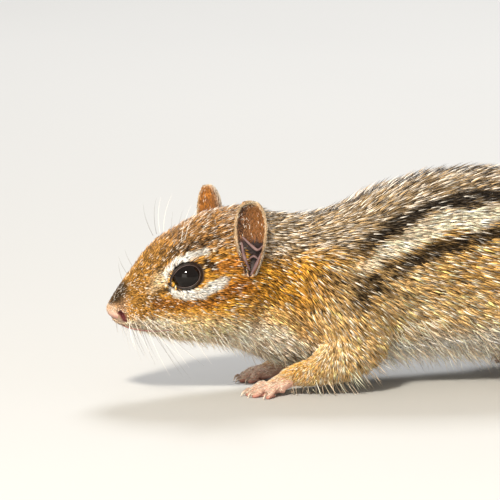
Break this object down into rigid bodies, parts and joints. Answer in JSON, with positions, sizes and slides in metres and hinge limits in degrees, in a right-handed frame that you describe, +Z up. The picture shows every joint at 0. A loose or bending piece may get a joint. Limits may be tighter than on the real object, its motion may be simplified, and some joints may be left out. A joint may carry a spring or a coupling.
{
  "type": "chipmunk",
  "caption": "Life-size eastern chipmunk model, crouched and creeping forward, head low and turned a little to its left, striped coat and long bushy tail lying behind.",
  "frame": {"origin": "under the middle of the bounding box, on the ground that the feet and the tail rest on", "axes": "+X from nose to tail, +Y to the animal's right side, +Z up"},
  "size_m": [0.222, 0.0484, 0.0504],
  "materials": {
    "ticked_coat": "short golden brown fur ticked with black and pale tips",
    "golden_coat": "short golden fur",
    "foot_skin": "thinly haired pinkish skin with pale claws",
    "ear_skin": "thin skin with very short brown hair and a pale rim",
    "tail_coat": "long dark brown hair with pale tips",
    "eye_glass": "glossy, almost black"
  },
  "bodies": {
    "root": {"head": "ticked_coat", "neck": "ticked_coat", "torso": "ticked_coat", "eye_left": "eye_glass", "eye_right": "eye_glass", "ear_left": "ear_skin", "ear_right": "ear_skin", "upper_arm_left": "golden_coat", "upper_arm_right": "golden_coat", "forearm_left": "golden_coat", "forearm_right": "golden_coat", "forefoot_left": "foot_skin", "forefoot_right": "foot_skin", "thigh_left": "golden_coat", "thigh_right": "golden_coat", "shank_left": "golden_coat", "shank_right": "golden_coat", "hindfoot_left": "foot_skin", "hindfoot_right": "foot_skin", "tail_base": "tail_coat", "tail_middle": "tail_coat", "tail_tip": "tail_coat"}
  },
  "joints": []
}
